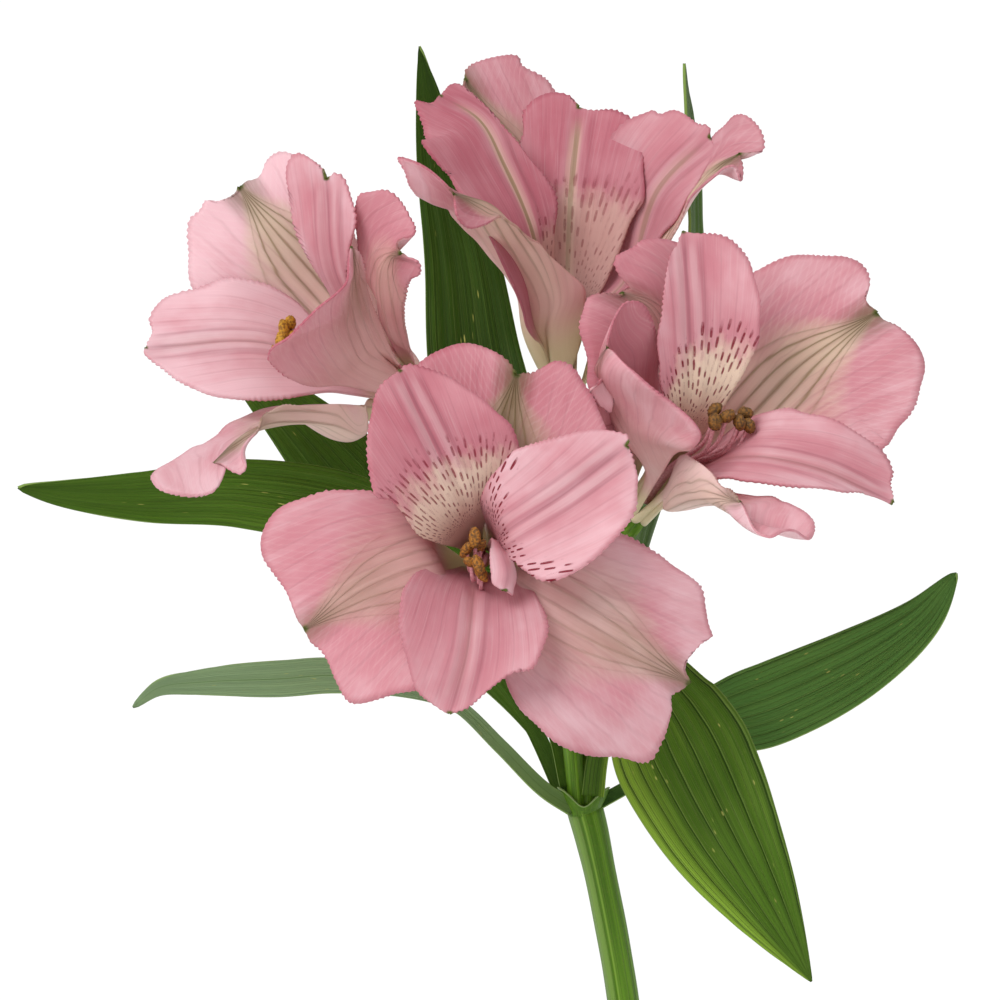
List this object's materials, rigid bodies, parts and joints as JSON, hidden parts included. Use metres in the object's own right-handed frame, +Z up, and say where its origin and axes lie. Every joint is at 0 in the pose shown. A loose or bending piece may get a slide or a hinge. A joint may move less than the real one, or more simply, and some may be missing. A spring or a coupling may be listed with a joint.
{
  "type": "potted flowering plant",
  "caption": "Potted Peruvian lily: a leafy stem with a head of wide pink trumpet flowers over a whorl of narrow leaves, in a plain clay pot of soil.",
  "frame": {"origin": "centre of the pot's foot, on the surface it stands on", "axes": "+Z up along the pot's axis, -Y towards the viewer of the picture, +X to the viewer's right"},
  "size_m": [0.1641, 0.1295, 0.3504],
  "materials": {
    "terracotta": "matte",
    "soil": "matte",
    "stem": "satin",
    "petals": "matte",
    "stamens": "matte",
    "leaves": "satin"
  },
  "bodies": {
    "root": {"pot": "terracotta", "soil": "soil", "stem": "stem", "tepals_front": "petals", "stamens_front": "stamens", "tepals_right": "petals", "stamens_right": "stamens", "tepals_left": "petals", "stamens_left": "stamens", "tepals_top": "petals", "stamens_top": "stamens", "leaf_tall_left": "leaves", "leaf_tall_right": "leaves", "leaf_far_left": "leaves", "leaf_left": "leaves", "leaf_low_left": "leaves", "leaf_low_right": "leaves", "leaf_far_right": "leaves", "stem_leaf_1": "leaves", "stem_leaf_2": "leaves", "stem_leaf_3": "leaves", "stem_leaf_4": "leaves", "shoot_1": "leaves", "shoot_2": "leaves", "shoot_3": "leaves"}
  },
  "joints": []
}
